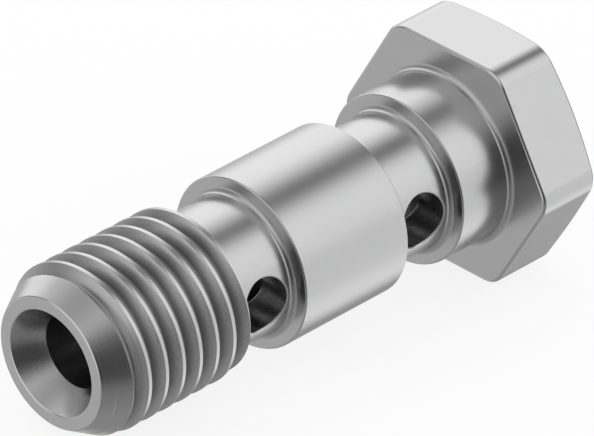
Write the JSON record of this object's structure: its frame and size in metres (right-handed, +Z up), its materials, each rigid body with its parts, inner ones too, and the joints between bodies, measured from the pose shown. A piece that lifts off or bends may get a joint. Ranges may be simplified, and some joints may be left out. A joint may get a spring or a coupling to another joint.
{
  "type": "banjo bolt",
  "caption": "Hollow hex bolt with a threaded tip, a land between narrowed necks, a long blind bore and a cross hole through each neck, for feeding fluid to stacked ring fittings.",
  "frame": {"origin": "on the floor under the middle of the bolt's box, as the bolt lies at rest", "axes": "+Z up from the floor; the bolt lies along X with its tip towards -X and its head towards +X, leaning 3.83 degrees down to the tip, because it rests on the edge of the head and on the start of the thread; +Y is level and runs through both cross holes"},
  "size_m": [0.0278, 0.0124, 0.0112],
  "materials": {
    "bright_steel": "fine turned, bright"
  },
  "bodies": {
    "root": {"banjo_bolt": "bright_steel"}
  },
  "joints": []
}
